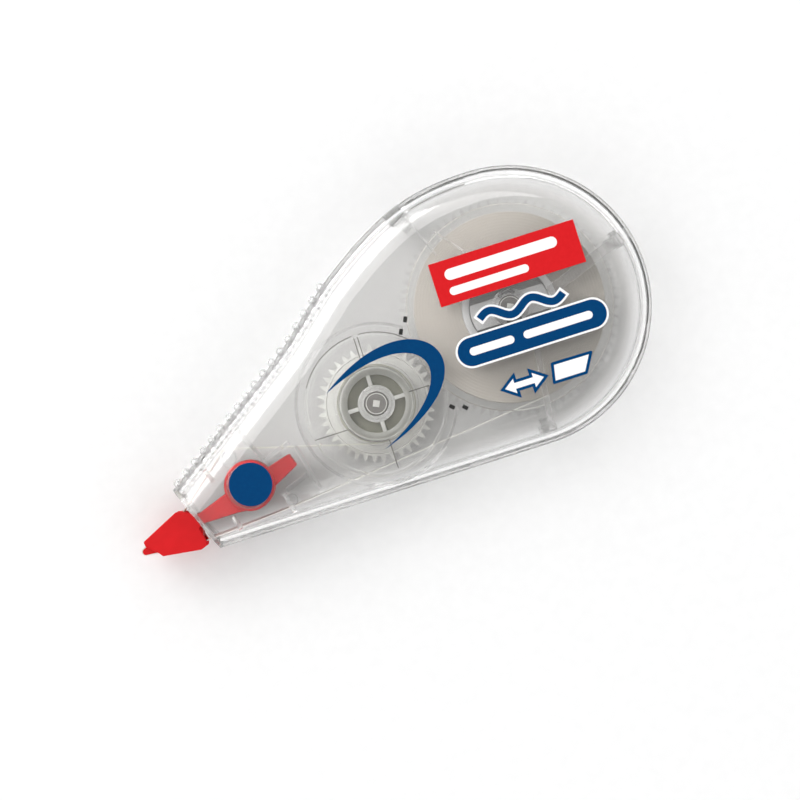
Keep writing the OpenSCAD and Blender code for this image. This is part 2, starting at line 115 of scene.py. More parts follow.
# Fittings of the casing. Bearings are in degrees round the rear arc's centre or the reel's axle.
sink = 0.1  # how deep a fitting reaches into the wall it stands on
hooks = ((-90, 0), (15, 0), (124, 1.4))  # bearing, and how much further out the hook stands
hook_root_r, hook_tip_r, hook_catch_r = 15.6, 17.5, 17.0
hook_half_w = 1.2
lug_bearing, lug_r, lug_half_w = 124, 19.7, 1.15
slit_x = (9.4, 18.4)
guard_arc = (53, 339.5)
guard_r = (10.9, 10.45)
guard_stop_r = (10.1, 11.85)
guide_top = 9.4
socket_r = 2.5
reel_ribs = (  # start, end, width
    ((24.5, 0.3), (35.7, 4.35), 1.5), ((20.7, -6.6), (19.4, -17.2), 0.8),
    ((15.5, 8.7), (12.3, 12.7), 0.3), ((11.7, 9.5), (9.2, 15.6), 0.3),
)
nose_ribs = (
    ((-20.6, -4.6), (-18.4, -9.6), 0.6), ((-18.4, -9.6), (-14.6, -8.3), 0.6),
    ((-13.9, -9), (-12.4, -15.3), 0.6), ((-26.3, -8.6), (-25.6, -10.4), 0.6),
    ((-17.2, -14.7), (-16.6, -17.2), 0.6), ((-24.6, -15.4), (-24.1, -17.2), 0.6),
)
bead_count = 18
bead_r = 0.62
bead_x = (-30.4, -4.4)
bead_z = (round_h, casing_t - round_h)

# ---------------------------------------------------------------- plane geometry


def bezier(a, b, c, d, t):
    """Point of a cubic curve."""
    a, b, c, d = Vector(a), Vector(b), Vector(c), Vector(d)
    return (1 - t) ** 3 * a + 3 * t * (1 - t) ** 2 * b + 3 * t * t * (1 - t) * c + t**3 * d


def polar(centre, r, degrees):
    """Point at radius r and angle from a centre."""
    a = math.radians(degrees)
    return Vector(centre) + Vector((r * math.cos(a), r * math.sin(a)))


def circle(centre, r, steps=96):
    """Round outline, counter-clockwise."""
    return [polar(centre, r, 360 * i / steps) for i in range(steps)]


def casing_outline():
    """Outline of the casing, counter-clockwise, with its apex beyond the nose."""
    bottom = [apex.lerp(Vector((rear_c.x, -rear_r)), i / 24) for i in range(24)]
    rear = [polar(rear_c, rear_r, -90 + 180 * i / 72) for i in range(73)]
    crown = [bezier(*crown_curve, i / 36) for i in range(1, 37)]
    neck = [bezier(*neck_curve, i / 20) for i in range(1, 21)]
    flank = [flank_bend.lerp(apex, i / 24) for i in range(1, 24)]
    return bottom + rear + crown + neck + flank


def left(v):
    """v turned a quarter turn counter-clockwise."""
    return Vector((-v.y, v.x))


def inset(points, d):
    """A closed counter-clockwise outline, moved inwards by d."""
    result = []
    for i, p in enumerate(points):
        a = left((p - points[i - 1]).normalized())
        b = left((points[(i + 1) % len(points)] - p).normalized())
        result.append(p + d * (a + b) / (1 + a.dot(b)))
    return result


def rounded(points, r, steps=5):
    """A closed outline with each corner cut to an arc-like curve of about that radius."""
    result = []
    n = len(points)
    for i, p in enumerate(points):
        back, ahead = points[i - 1] - p, points[(i + 1) % n] - p
        turn = back.angle(ahead, math.pi)
        reach = min(r / math.tan(turn / 2), back.length * 0.48, ahead.length * 0.48)
        if reach < 0.01:
            result.append(p)
            continue
        a, b = p + back.normalized() * reach, p + ahead.normalized() * reach
        for k in range(steps + 1):
            t = k / steps
            result.append((1 - t) ** 2 * a + 2 * t * (1 - t) * p + t * t * b)
    return result


def pill(centre, width, height, grow=0.0, steps=16):
    """Outline of a bar with round ends."""
    r = height / 2
    half = Vector((width / 2 - r, 0))
    points = [polar(Vector(centre) + half, r + grow, -90 + 180 * i / steps) for i in range(steps + 1)]
    points += [polar(Vector(centre) - half, r + grow, 90 + 180 * i / steps) for i in range(steps + 1)]
    return points


def tangent(a, ra, b, rb, side):
    """Common tangent of two circles, on the left (1) or right (-1) of the way from a to b."""
    span = Vector(b) - Vector(a)
    u = span.normalized()
    k = (ra - rb) / span.length
    n = k * u + side * math.sqrt(1 - k * k) * left(u)
    return Vector(a) + ra * n, Vector(b) + rb * n


# ---------------------------------------------------------------- mesh building


def loft(bm, rings, loop=False):
    """Skins a row of rings with equal numbers of points, closed by caps or joined end to end."""
    rows = [[bm.verts.new(p) for p in points] for points in rings]
    pairs = list(zip(rows, rows[1:]))
    if loop:
        pairs.append((rows[-1], rows[0]))
    for low, high in pairs:
        n = len(low)
        for i in range(n):
            bm.faces.new((low[i], low[(i + 1) % n], high[(i + 1) % n], high[i]))
    if not loop:
        bm.faces.new(list(reversed(rows[0])))
        bm.faces.new(rows[-1])


def lift(points, z):
    """A plane outline as a ring at height z."""
    return [Vector((p.x, p.y, z)) for p in points]


def edge_profile(z0, z1, edge, steps):
    """(inset, z) pairs from the bottom to the top of a plate with rounded edges."""
    angles = [math.radians(90 * i / steps) for i in range(steps + 1)]
    low = [(edge * (1 - math.sin(t)), z0 + edge * (1 - math.cos(t))) for t in angles]
    high = [(d, z1 + z0 - z) for d, z in reversed(low)]
    return low + high


def slab(bm, points, z0, z1, edge=0.12, steps=3):
    """Plate of the given outline, with rounded edges."""
    loft(bm, [lift(inset(points, d), z) for d, z in edge_profile(z0, z1, edge, steps)])


def bored_slab(bm, points, centre, bore_r, z0, z1, edge=0.08):
    """Plate with a round hole, its outline sampled round the hole's centre."""
    profile = edge_profile(z0, z1, edge, 2)
    rings = [lift(inset(points, d), z) for d, z in profile]
    directions = [(p - Vector(centre)).normalized() for p in points]
    for d, z in reversed(profile):
        rings.append(lift([Vector(centre) + (bore_r + d) * v for v in directions], z))
    loft(bm, rings, loop=True)


def wheel(bm, points, centre, z0, z1, inner):
    """Plate whose edge follows an outline, and whose top, bore and hub follow (radius, z) pairs."""
    rings = [lift(inset(points, d), z) for d, z in edge_profile(z0, z1, 0.05, 1)]
    directions = [(p - Vector(centre)).normalized() for p in points]
    rings += [lift([Vector(centre) + r * v for v in directions], z) for r, z in inner]
    loft(bm, rings, loop=True)


def stroke(bm, path, width, z0, z1):
    """Flat line of the given width along an open path."""
    sides = ([], [])
    for i, p in enumerate(path):
        ahead = (path[min(i + 1, len(path) - 1)] - path[max(i - 1, 0)]).normalized()
        for side, sign in zip(sides, (1, -1)):
            side.append(p + sign * left(ahead) * width / 2)
    outline = sides[1] + sides[0][::-1]
    loft(bm, [lift(outline, z0), lift(outline, z1)])


def arc(centre, r, start, stop, steps=24):
    """Points along a round arc, between two angles in degrees."""
    return [polar(centre, r, start + (stop - start) * i / steps) for i in range(steps + 1)]


def ring(bm, centre, r_out, r_in, z0, z1, edge=0.08, steps=96):
    """Round ring with rounded edges."""
    bored_slab(bm, circle(centre, r_out, steps), centre, r_in, z0, z1, edge)


def post(bm, centre, r, z0, z1, edge=0.15):
    """Round post with rounded ends."""
    slab(bm, circle(centre, r, 64), z0, z1, edge)


def bar(bm, a, b, w, z0, z1, edge=0.08):
    """Straight bar from a to b, w wide."""
    a, b = Vector(a), Vector(b)
    side = left((b - a).normalized()) * w / 2
    slab(bm, [a - side, b - side, b + side, a + side], z0, z1, edge, 2)


def ribbon(bm, path, z0, z1, t):
    """Strip of tape that stands on its edge along a path."""
    rings = []
    for i, p in enumerate(path):
        ahead = (path[min(i + 1, len(path) - 1)] - path[max(i - 1, 0)]).normalized()
        side = left(ahead) * t / 2
        rings.append([
            Vector((*(p + side), z0)), Vector((*(p - side), z0)),
            Vector((*(p - side), z1)), Vector((*(p + side), z1)),
        ])
    loft(bm, rings)


def fused(solids):
    """Joins closed solids that overlap into one, with no faces left inside."""
    made = []
    for bm in solids:
        mesh = bpy.data.meshes.new("part")
        bmesh.ops.recalc_face_normals(bm, faces=bm.faces)
        bm.to_mesh(mesh)
        bm.free()
        made.append(bpy.data.objects.new("part", mesh))
        scene.collection.objects.link(made[-1])
    for other in made[1:]:
        joint = made[0].modifiers.new("join", "BOOLEAN")
        joint.operation, joint.solver, joint.object = "UNION", "EXACT", other
    view = bpy.context.evaluated_depsgraph_get()
    result = bmesh.new()
    result.from_mesh(made[0].evaluated_get(view).to_mesh())
    for obj in made:
        mesh = obj.data
        bpy.data.objects.remove(obj)
        bpy.data.meshes.remove(mesh)
    return result


def piece(name, bm, material, body, *replaced, sharp=38):
    """Turns a mesh in millimetres into an object in metres that rides on a CAD body."""
    bmesh.ops.remove_doubles(bm, verts=bm.verts, dist=WELD)
    bmesh.ops.dissolve_degenerate(bm, edges=bm.edges, dist=WELD)
    bmesh.ops.scale(bm, vec=(MM, MM, MM), verts=bm.verts)
    bmesh.ops.recalc_face_normals(bm, faces=bm.faces)
    for face in bm.faces:
        face.smooth = True
    for edge in bm.edges:
        edge.smooth = len(edge.link_faces) == 2 and edge.calc_face_angle(0) < math.radians(sharp)
    mesh = bpy.data.meshes.new(name)
    bm.to_mesh(mesh)
    bm.free()
    obj = bpy.data.objects.new(name, mesh)
    scene.collection.objects.link(obj)
    mesh.materials.append(material)
    # Large flat faces keep a flat look, and only the small rounded edges beside them bend the light.
    weighted = obj.modifiers.new("flat_faces", "WEIGHTED_NORMAL")
    weighted.weight = 100
    weighted.keep_sharp = True
    if body:
        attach(obj, body)
    if replaced:
        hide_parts(*replaced)
    return obj


# ---------------------------------------------------------------- materials


class Nodes:
    """A material's node tree, with short calls for the nodes used here."""

    def __init__(self, name):
        self.material = bpy.data.materials.new(name)
        self.material.use_nodes = True
        self.tree = self.material.node_tree
        self.shader = self.tree.nodes["Principled BSDF"]
        self.output = self.tree.nodes["Material Output"]
        self.coords = self.add("ShaderNodeTexCoord").outputs["Object"]

    def add(self, kind, inputs=None, **settings):
        node = self.tree.nodes.new(kind)
        for key, value in settings.items():
            setattr(node, key, value)
        for key, value in (inputs or {}).items():
            self.put(value, node.inputs[key])
        return node

    def put(self, value, socket):
        if isinstance(value, bpy.types.NodeSocket):
            self.tree.links.new(value, socket)
        else:
            socket.default_value = value

    def set(self, **inputs):
        for key, value in inputs.items():
            self.put(value, self.shader.inputs[key.replace("_", " ")])

    def mapped(self, scale, offset=(0, 0, 0)):
        """Object coordinates in millimetres, moved and scaled."""
        node = self.add("ShaderNodeMapping", {"Vector": self.coords})
        node.inputs["Location"].default_value = [-o * s for o, s in zip(offset, scale)]
        node.inputs["Scale"].default_value = [s / MM for s in scale]
        return node.outputs["Vector"]

    def noise(self, scale, detail=3.0, vector=None, roughness=0.5):
        """Noise with about scale features to the millimetre."""
        vector = vector or self.mapped((1, 1, 1))
        node = self.add("ShaderNodeTexNoise", {
            "Vector": vector, "Scale": scale, "Detail": detail, "Roughness": roughness,
        })
        return node.outputs["Fac"]

    def ramp(self, value, low, high, at=(0.3, 0.7)):
        """Maps a value onto a range between two colours."""
        node = self.add("ShaderNodeValToRGB", {"Fac": value})
        for element, colour, place in zip(node.color_ramp.elements, (low, high), at):
            element.color = (*colour, 1)
            element.position = place
        return node.outputs["Color"]

    def span(self, value, low, high):
        """Maps 0..1 onto a range of numbers."""
        node = self.add("ShaderNodeMapRange", {"Value": value, "To Min": low, "To Max": high})
        return node.outputs["Result"]

    def bump(self, height, strength, distance):
        """Bumps up to a distance in millimetres."""
        inputs = {"Height": height, "Strength": strength, "Distance": distance * MM}
        return self.add("ShaderNodeBump", inputs).outputs["Normal"]


def srgb(r, g, b):
    """Linear colour from 0-255 values."""
    shares = (r / 255, g / 255, b / 255)
    return tuple(c / 12.92 if c <= 0.04045 else ((c + 0.055) / 1.055) ** 2.4 for c in shares)


def clear_plastic(name, tint, roughness, haze=0.0, ior=1.49, painted_rim_light=None):
    """Clear moulded plastic with faint flow lines and fine scratches. Lamps shine through it.

    With a rim tint, the flat faces have the milky tint and the steep, curved edges the lighter rim tint:
    painted light on the rim, set by which way the surface faces.
    """
    n = Nodes(name)
    colour, share = (*tint, 1), 1.0 - haze
    if painted_rim_light:
        # Painted light: faces that turn away from level take the lighter rim tint.
        normal = n.add("ShaderNodeTexCoord").outputs["Normal"]
        facing = n.add("ShaderNodeSeparateXYZ", {0: normal}).outputs["Z"]
        level = n.add("ShaderNodeMath", {0: facing}, operation="ABSOLUTE").outputs["Value"]
        steep, level_enough = 0.72, 0.99
        flat = n.add("ShaderNodeMapRange", {
            "Value": level, "From Min": steep, "From Max": level_enough,
        }).outputs["Result"]
        tints = {"Factor": flat, 6: (*painted_rim_light, 1), 7: (*tint, 1)}
        blend = n.add("ShaderNodeMix", tints, data_type="RGBA")
        colour, share = blend.outputs[2], n.span(flat, 1.0, 1.0 - haze)
    flow = n.noise(0.35, 2.0)
    scratches = n.noise(1.0, 4.0, n.mapped((0.25, 6, 1)), 0.7)
    n.set(
        Base_Color=colour, Transmission_Weight=share, IOR=ior,
        Roughness=n.span(scratches, roughness, roughness + 0.02),
        Normal=n.bump(flow, 0.03, 0.5),
    )
    clear = n.add("ShaderNodeBsdfTransparent")
    clear.inputs["Color"].default_value = (*[c**0.25 for c in tint], 1)
    path = n.add("ShaderNodeLightPath")
    mix = n.add("ShaderNodeMixShader", {
        0: path.outputs["Is Shadow Ray"], 1: n.shader.outputs["BSDF"], 2: clear.outputs["BSDF"],
    })
    n.tree.links.new(mix.outputs["Shader"], n.output.inputs["Surface"])
    return n.material


def natural_plastic(name, colour, cloudy, roughness=0.3):
    """Uncoloured, slightly cloudy plastic, as gears and hubs are moulded in."""
    n = Nodes(name)
    clouds = n.noise(0.5, 3.0)
    grain = n.noise(9.0, 2.0)
    darker = tuple(c * 0.93 for c in colour)
    n.set(
        Base_Color=n.ramp(clouds, darker, colour),
        Transmission_Weight=1.0 - cloudy, IOR=1.5,
        Roughness=n.span(grain, roughness, roughness + 0.12),
        Normal=n.bump(grain, 0.1, 0.05),
    )
    clear = n.add("ShaderNodeBsdfTransparent")
    clear.inputs["Color"].default_value = (*colour, 1)
    shadow = n.add("ShaderNodeLightPath").outputs["Is Shadow Ray"]
    share = n.add("ShaderNodeMath", {0: shadow, 1: 1.0 - cloudy}, operation="MULTIPLY")
    mix = n.add("ShaderNodeMixShader", {
        0: share.outputs["Value"], 1: n.shader.outputs["BSDF"], 2: clear.outputs["BSDF"],
    })
    n.tree.links.new(mix.outputs["Shader"], n.output.inputs["Surface"])
    return n.material


def wound_tape(name, colour, shade, centre, pitch, far=(1.0, 1.0, 1.0), reach=10.0):
    """Side of a tight tape coil: rings of slightly different tone, with a matt papery face.

    Towards one side the tone is multiplied by far: painted shade, darker across that side of the coil.
    """
    n = Nodes(name)
    vector = n.mapped((1, 1, 0), (centre.x, centre.y, 0))
    rings = n.add("ShaderNodeTexWave", {
        "Vector": vector, "Scale": 0.31 / pitch, "Distortion": 0.6, "Detail": 2.0, "Detail Scale": 0.4,
    }, wave_type="RINGS", rings_direction="Z").outputs["Fac"]
    patches = n.noise(0.25, 2.0)
    mixed = n.add("ShaderNodeMath", {0: rings, 1: patches}, operation="MULTIPLY_ADD")
    mixed.inputs[2].default_value = 0.2
    # Painted shade: by position, the coil's tone fades from white to far towards one side.
    across = n.add("ShaderNodeVectorMath", {0: vector, 1: (0.82, -0.57, 0)}, operation="DOT_PRODUCT")
    painted_shade_side = n.add("ShaderNodeMapRange", {
        "Value": across.outputs["Value"], "From Min": -reach, "From Max": reach,
    }, interpolation_type="SMOOTHSTEP")
    tone = n.add("ShaderNodeMix", {"Factor": painted_shade_side.outputs["Result"]}, data_type="RGBA")
    tone.inputs[6].default_value = (1, 1, 1, 1)
    tone.inputs[7].default_value = (*far, 1)
    shaded = n.add("ShaderNodeMix", {"Factor": 1.0}, data_type="RGBA", blend_type="MULTIPLY")
    n.put(n.ramp(mixed.outputs["Value"], shade, colour, (0.15, 0.75)), shaded.inputs[6])
    n.put(tone.outputs[2], shaded.inputs[7])
    n.set(
        Base_Color=shaded.outputs[2],
        Roughness=n.span(rings, 0.5, 0.62), Normal=n.bump(rings, 0.25, 0.04),
    )
    n.shader.inputs["Specular IOR Level"].default_value = 0.35
    return n.material


def plain_tape(name, colour, shade):
    """Thin film or paper strip with faint drawn-out fibres."""
    n = Nodes(name)
    fibres = n.noise(1.0, 4.0, n.mapped((0.6, 0.6, 5)))
    n.set(
        Base_Color=n.ramp(fibres, shade, colour),
        Roughness=n.span(fibres, 0.5, 0.6), Normal=n.bump(fibres, 0.1, 0.03),
    )
    return n.material


def moulded(name, colour, shade, roughness=0.32, shine=0.4):
    """Opaque moulded plastic with a fine spark-eroded grain and rubbed patches."""
    n = Nodes(name)
    wear = n.noise(0.6, 3.0)
    grain = n.noise(14.0, 2.0)
    n.set(
        Base_Color=n.ramp(wear, shade, colour),
        Roughness=n.span(wear, roughness, roughness + 0.12),
        Normal=n.bump(grain, 0.12, 0.03),
    )
    n.shader.inputs["Specular IOR Level"].default_value = shine
    return n.material


def ink(name, colour, shade):
    """Pad-printed ink: a glossy film with a faint mottle."""
    n = Nodes(name)
    mottle = n.noise(2.2, 4.0)
    grain = n.noise(22.0, 1.0)
    n.set(
        Base_Color=n.ramp(mottle, shade, colour),
        Roughness=n.span(mottle, 0.36, 0.46), Normal=n.bump(grain, 0.05, 0.01),
    )
    n.shader.inputs["Specular IOR Level"].default_value = 0.03
    return n.material


# The shell's rim tint paints its steep edges lighter than its flat faces.
shell_clear = clear_plastic("shell_clear", (0.83, 0.827, 0.823), 0.0, 0.02, painted_rim_light=(0.98, 0.98, 0.98))
bead_clear = clear_plastic("bead_clear", (0.96, 0.96, 0.96), 0.0, 0.05, 1.3)
# The ribs', hooks' and nose frame's clear plastic has a darker tint than the shell's: painted shade.
rib_shaded_clear = clear_plastic("rib_shaded_clear", (0.78, 0.775, 0.77), 0.01, 0.06)
hook_shaded_clear = clear_plastic("hook_shaded_clear", (0.6, 0.6, 0.59), 0.01, 0.15)
# The axle posts are coloured dark grey: painted shade inside the reel cores.
post_shade_grey = natural_plastic("post_shade_grey", (0.17, 0.16, 0.145), 0.9)
disc_clear = clear_plastic("disc_clear", (0.96, 0.96, 0.95), 0.0, 0.02)
gear_clear = clear_plastic("gear_clear", (0.95, 0.95, 0.94), 0.08, 0.04, 1.2)
gear_natural = natural_plastic("gear_natural", (0.96, 0.96, 0.94), 0.75, 0.06)
hub_natural = natural_plastic("hub_natural", (0.80, 0.80, 0.76), 0.75)
clutch_natural = natural_plastic("clutch_natural", (0.93, 0.925, 0.92), 0.75)
web_grey = moulded("web_grey", srgb(152, 151, 134), srgb(140, 139, 122))
# Grey for the crown lug and slit: painted shade.
crown_shade_grey = moulded("crown_shade_grey", srgb(138, 138, 136), srgb(122, 122, 120))
crease_shade_grey = moulded("crease_shade_grey", srgb(112, 110, 104), srgb(100, 98, 92))
# The supply coil's far tone paints shade over one side of the coil.
coil_white = wound_tape(
    "coil_white", srgb(212, 204, 196), srgb(208, 200, 191), supply_c, 0.4, (0.56, 0.56, 0.54), 12.0)
coil_spent = wound_tape("coil_spent", srgb(186, 185, 172), srgb(172, 171, 158), takeup_c, 0.3)
tape_white = plain_tape("tape_white", srgb(236, 235, 230), srgb(226, 224, 218))
tape_backing = plain_tape("tape_backing", srgb(222, 221, 208), srgb(212, 211, 197))
red_plastic = moulded("red_plastic", srgb(212, 16, 24), srgb(205, 13, 20), 0.38, 0.12)
red_ink = ink("red_ink", srgb(217, 33, 38), srgb(212, 30, 35))
blue_ink = ink("blue_ink", srgb(0, 64, 114), srgb(0, 60, 109))
white_ink = ink("white_ink", srgb(250, 250, 250), srgb(243, 243, 243))
# Near-black for the small marks at the guard ring's ends: painted shade.
cusp_shade_mark = ink("cusp_shade_mark", srgb(48, 48, 46), srgb(38, 38, 36))

# ---------------------------------------------------------------- casing


def cup_profile():
    """(inset, z) pairs of the front shell's wall: down the outside, round the rim, up the inside."""
    steps = 10
    angles = [math.radians(90 * i / steps) for i in range(steps + 1)]
    outside = [
        (round_w * (1 - math.cos(t)), casing_t - round_h * (1 - math.sin(t))) for t in reversed(angles)]
    rim_z = part_z + 0.02  # the halves stop just short of each other, which shows as the parting line
    rim = [(0, rim_z + 0.04), (0.05, rim_z), (wall_t - 0.08, rim_z), (wall_t, rim_z + 0.08)]
    inner_w, inner_h = round_w - wall_t, round_h - wall_t
    inside = [(round_w - inner_w * math.cos(t), casing_t - round_h + inner_h * math.sin(t)) for t in angles]
    return outside + rim + inside


def cut_nose(bm):
    """Cuts a shell off along the nose plane and closes the cut."""
    outwards = left((nose_top - nose_base).normalized())
    bmesh.ops.bisect_plane(
        bm, geom=bm.verts[:] + bm.edges[:] + bm.faces[:], dist=1e-5,
        plane_co=(*nose_base, 0), plane_no=(*outwards, 0), clear_outer=True,
    )
    open_edges = [e for e in bm.edges if len(e.link_faces) == 1]
    bmesh.ops.edgeloop_fill(bm, edges=open_edges)


def mirrored(bm):
    """Turns a front half into a back half."""
    for v in bm.verts:
        v.co.z = casing_t - v.co.z


def shell(name, node, back):
    bm = bmesh.new()
    outline = casing_outline()
    loft(bm, [lift(inset(outline, d), z) for d, z in cup_profile()])
    cut_nose(bm)
    if back:
        mirrored(bm)
    return piece(name, bm, shell_clear, "casing", node, sharp=30)


def flank_y(x):
    """Height of the sloping flank at x."""
    points = [apex, flank_bend] + [bezier(*neck_curve, 1 - i / 12) for i in range(1, 13)]
    for a, b in zip(points, points[1:]):
        if a.x <= x <= b.x:
            return a.y + (b.y - a.y) * (x - a.x) / (b.x - a.x)
    return flank_top.y


def grip_beads():
    """Row of round-ended beads along the flank, one half on each shell."""
    bm = bmesh.new()
    for i in range(bead_count):
        x = bead_x[0] + (bead_x[1] - bead_x[0]) * i / (bead_count - 1)
        centre = Vector((x, flank_y(x)))
        rings = []
        for t in range(-90, 91, 15):
            z = bead_z[1] - bead_r if t >= 0 else bead_z[0] + bead_r
            r = max(bead_r * math.cos(math.radians(t)), 0.02)
            rings.append(lift(circle(centre, r, 20), z + bead_r * math.sin(math.radians(t))))
        loft(bm, rings)
    return piece("grip_beads", bm, bead_clear, "casing")


def back_fittings():
    """Posts, guides, hooks and lug that stand in the back shell."""
    foot = wall_t - sink
    axle_top = ceiling - 0.7
    bm = bmesh.new()
    for centre in (supply_c, takeup_c):
        post(bm, centre, axle_r, foot, axle_top, 0.2)
        post(bm, centre, socket_r - 0.1, foot, 1.8)
    post(bm, boss_c, boss_pin_r, foot, 10.4, 0.2)
    # Dark grey posts, painted shade inside the reel cores.
    piece("axle_posts", bm, post_shade_grey, "casing")

    bm = bmesh.new()
    for centre in (supply_c, takeup_c):
        square = [polar(centre, 0.62, a) for a in (20, 110, 200, 290)]
        slab(bm, square, axle_top - 0.02, axle_top + 0.1, 0.04)
        ring(bm, centre, 1.42, 1.3, axle_top - 0.05, axle_top + 0.04, 0.02, 48)
    piece("post_gate_marks", bm, hub_natural, "casing")

    bm = bmesh.new()
    post(bm, boss_c, 2.8, foot, 3.2)
    post(bm, upper_guide, upper_guide_r, foot, guide_top, 0.2)
    post(bm, lower_guide, lower_guide_r, foot, guide_top, 0.2)
    for a, b, w in (((-18.2, -9.95), (-16.2, -9.4), 0.6), ((-16.9, -14.35), (-13.6, -13.2), 0.7)):
        bar(bm, a, b, w, foot, 8.6)
    piece("back_fittings", bm, shell_clear, "casing")

    bm = bmesh.new()
    for a, shift in hooks:
        bar(bm, polar(rear_c, hook_root_r + shift, a), polar(rear_c, hook_tip_r + shift, a), 1.4, foot, 6.5)
        side = left(polar((0, 0), hook_half_w, a))
        middle = polar(rear_c, hook_catch_r + shift, a)
        bar(bm, middle - side, middle + side, 1.0, 4.6, 9.2, 0.2)
    piece("snap_hooks", bm, hook_shaded_clear, "casing")

    # The crown lug is opaque grey, painted shade for the darker look of the clear clip there.
    bm = bmesh.new()
    side = left(polar((0, 0), lug_half_w, lug_bearing))
    middle = polar(rear_c, lug_r, lug_bearing)
    bar(bm, middle - side, middle + side, 1.3, part_z - 2, part_z + 2, 0.1)
    piece("crown_lug", bm, crown_shade_grey, "casing")

    # The crown slit is a dark strip of painted shade along the inside of the wall.
    bm = bmesh.new()
    crown = [p for p in inset(casing_outline(), 1.0) if slit_x[0] < p.x < slit_x[1] and p.y > 0]
    stroke(bm, crown, 0.2, part_z - 0.5, part_z + 1.5)
    piece("crown_slit_shade", bm, crown_shade_grey, "casing")


def front_fittings():
    """Sockets, guard ring and ribs that hang from the front shell's wall."""
    top = ceiling + sink
    bm = bmesh.new()
    for centre, r, bore_r, low in (
        (supply_c, socket_r, axle_r, 10.7), (takeup_c, socket_r, axle_r, 10.9),
        (boss_c, 3.0, boss_pin_r, 9.9),
    ):
        ring(bm, centre, r, bore_r + axle_fit, low, top)
    guard = arc(takeup_c, guard_r[0], *guard_arc, 120) + arc(takeup_c, guard_r[1], *guard_arc[::-1], 120)
    slab(bm, guard, 11.1, top, 0.05, 2)
    piece("front_fittings", bm, shell_clear, "casing")

    # Small dark bars at both ends of the guard ring: painted shade in the cusps there.
    bm = bmesh.new()
    for r in guard_stop_r:
        for a, turn in ((guard_arc[0] + 0.5, 12), (guard_arc[1] + 0.5, -25)):
            middle = polar(takeup_c, r, a)
            side = polar((0, 0), 0.4, a + turn)
            bar(bm, middle - side, middle + side, 0.52, top - 0.35, top - 0.1, 0.03)
    piece("guard_end_shade_marks", bm, cusp_shade_mark, "casing")

    for name, low, ribs in (("reel_ribs", 10.5, reel_ribs), ("nose_ribs", 9.8, nose_ribs)):
        bm = bmesh.new()
        for a, b, w in ribs:
            bar(bm, a, b, w, low, top)
        piece(name, bm, rib_shaded_clear, "casing")


def nose_frame():
    """Thin frame that closes the nose round the slot for stem and tape."""
    along = (nose_top - nose_base).normalized()
    inward = Vector((along.y, -along.x))
    length = (nose_top - nose_base).length

    def loop(y0, y1, z0, z1, r, depth):
        points = rounded([Vector(p) for p in ((y0, z0), (y1, z0), (y1, z1), (y0, z1))], r, 6)
        return [Vector((*(nose_base + along * p.x + inward * depth), p.y)) for p in points]

    outer = (0.5, length - 0.5, 0.5, casing_t - 0.5, 2.4)
    inner = (1.1, length - 1.0, tape_z[0] - 0.9, tape_z[1] + 0.9, 0.6)
    near, far = 0.05, 0.5
    bm = bmesh.new()
    loft(bm, [loop(*outer, near), loop(*outer, far), loop(*inner, far), loop(*inner, near)], loop=True)
    return piece("nose_frame", bm, hook_shaded_clear, "casing")


# ---------------------------------------------------------------- reels

gear_module = 0.4
supply_teeth, takeup_teeth = 72, 38
pressure_angle = 20
addendum, dedendum = 0.92, 1.2  # in modules
gear_z = (2.2, 3.6)
gear_web_t = 0.7
bearing_profile = ((1.65, 2.0), (1.75, 1.9), (2.35, 1.9), (2.4, 1.95))  # foot of a gear's sleeve on its axle
backlash = 0.12
takeup_bearing = math.degrees(math.atan2(takeup_c.y - supply_c.y, takeup_c.x - supply_c.x))


def involute_angle(base_r, r):
    """Angle swept by an involute between its base circle and radius r, in degrees."""
    t = math.sqrt(max(0.0, (r / base_r) ** 2 - 1))
    return math.degrees(t) - math.degrees(math.atan(t))


def gear_outline(centre, teeth, turn):
    """Involute gear, with a tooth at the angle turn."""
    pitch_r = gear_module * teeth / 2
    base_r = pitch_r * math.cos(math.radians(pressure_angle))
    tip_r = pitch_r + addendum * gear_module
    root_r = pitch_r - dedendum * gear_module
    half = 90 / teeth - math.degrees(backlash / 2 / pitch_r) + involute_angle(base_r, pitch_r)
    radii = (max(base_r, root_r + 0.05), pitch_r, tip_r)
    points = []
    for i in range(teeth):
        middle = turn + 360 * i / teeth
        points.append(polar(centre, root_r, middle - half))
        points += [polar(centre, r, middle - half + involute_angle(base_r, r)) for r in radii]
        points += [polar(centre, r, middle + half - involute_angle(base_r, r)) for r in reversed(radii)]
        points.append(polar(centre, root_r, middle + half))
    return points


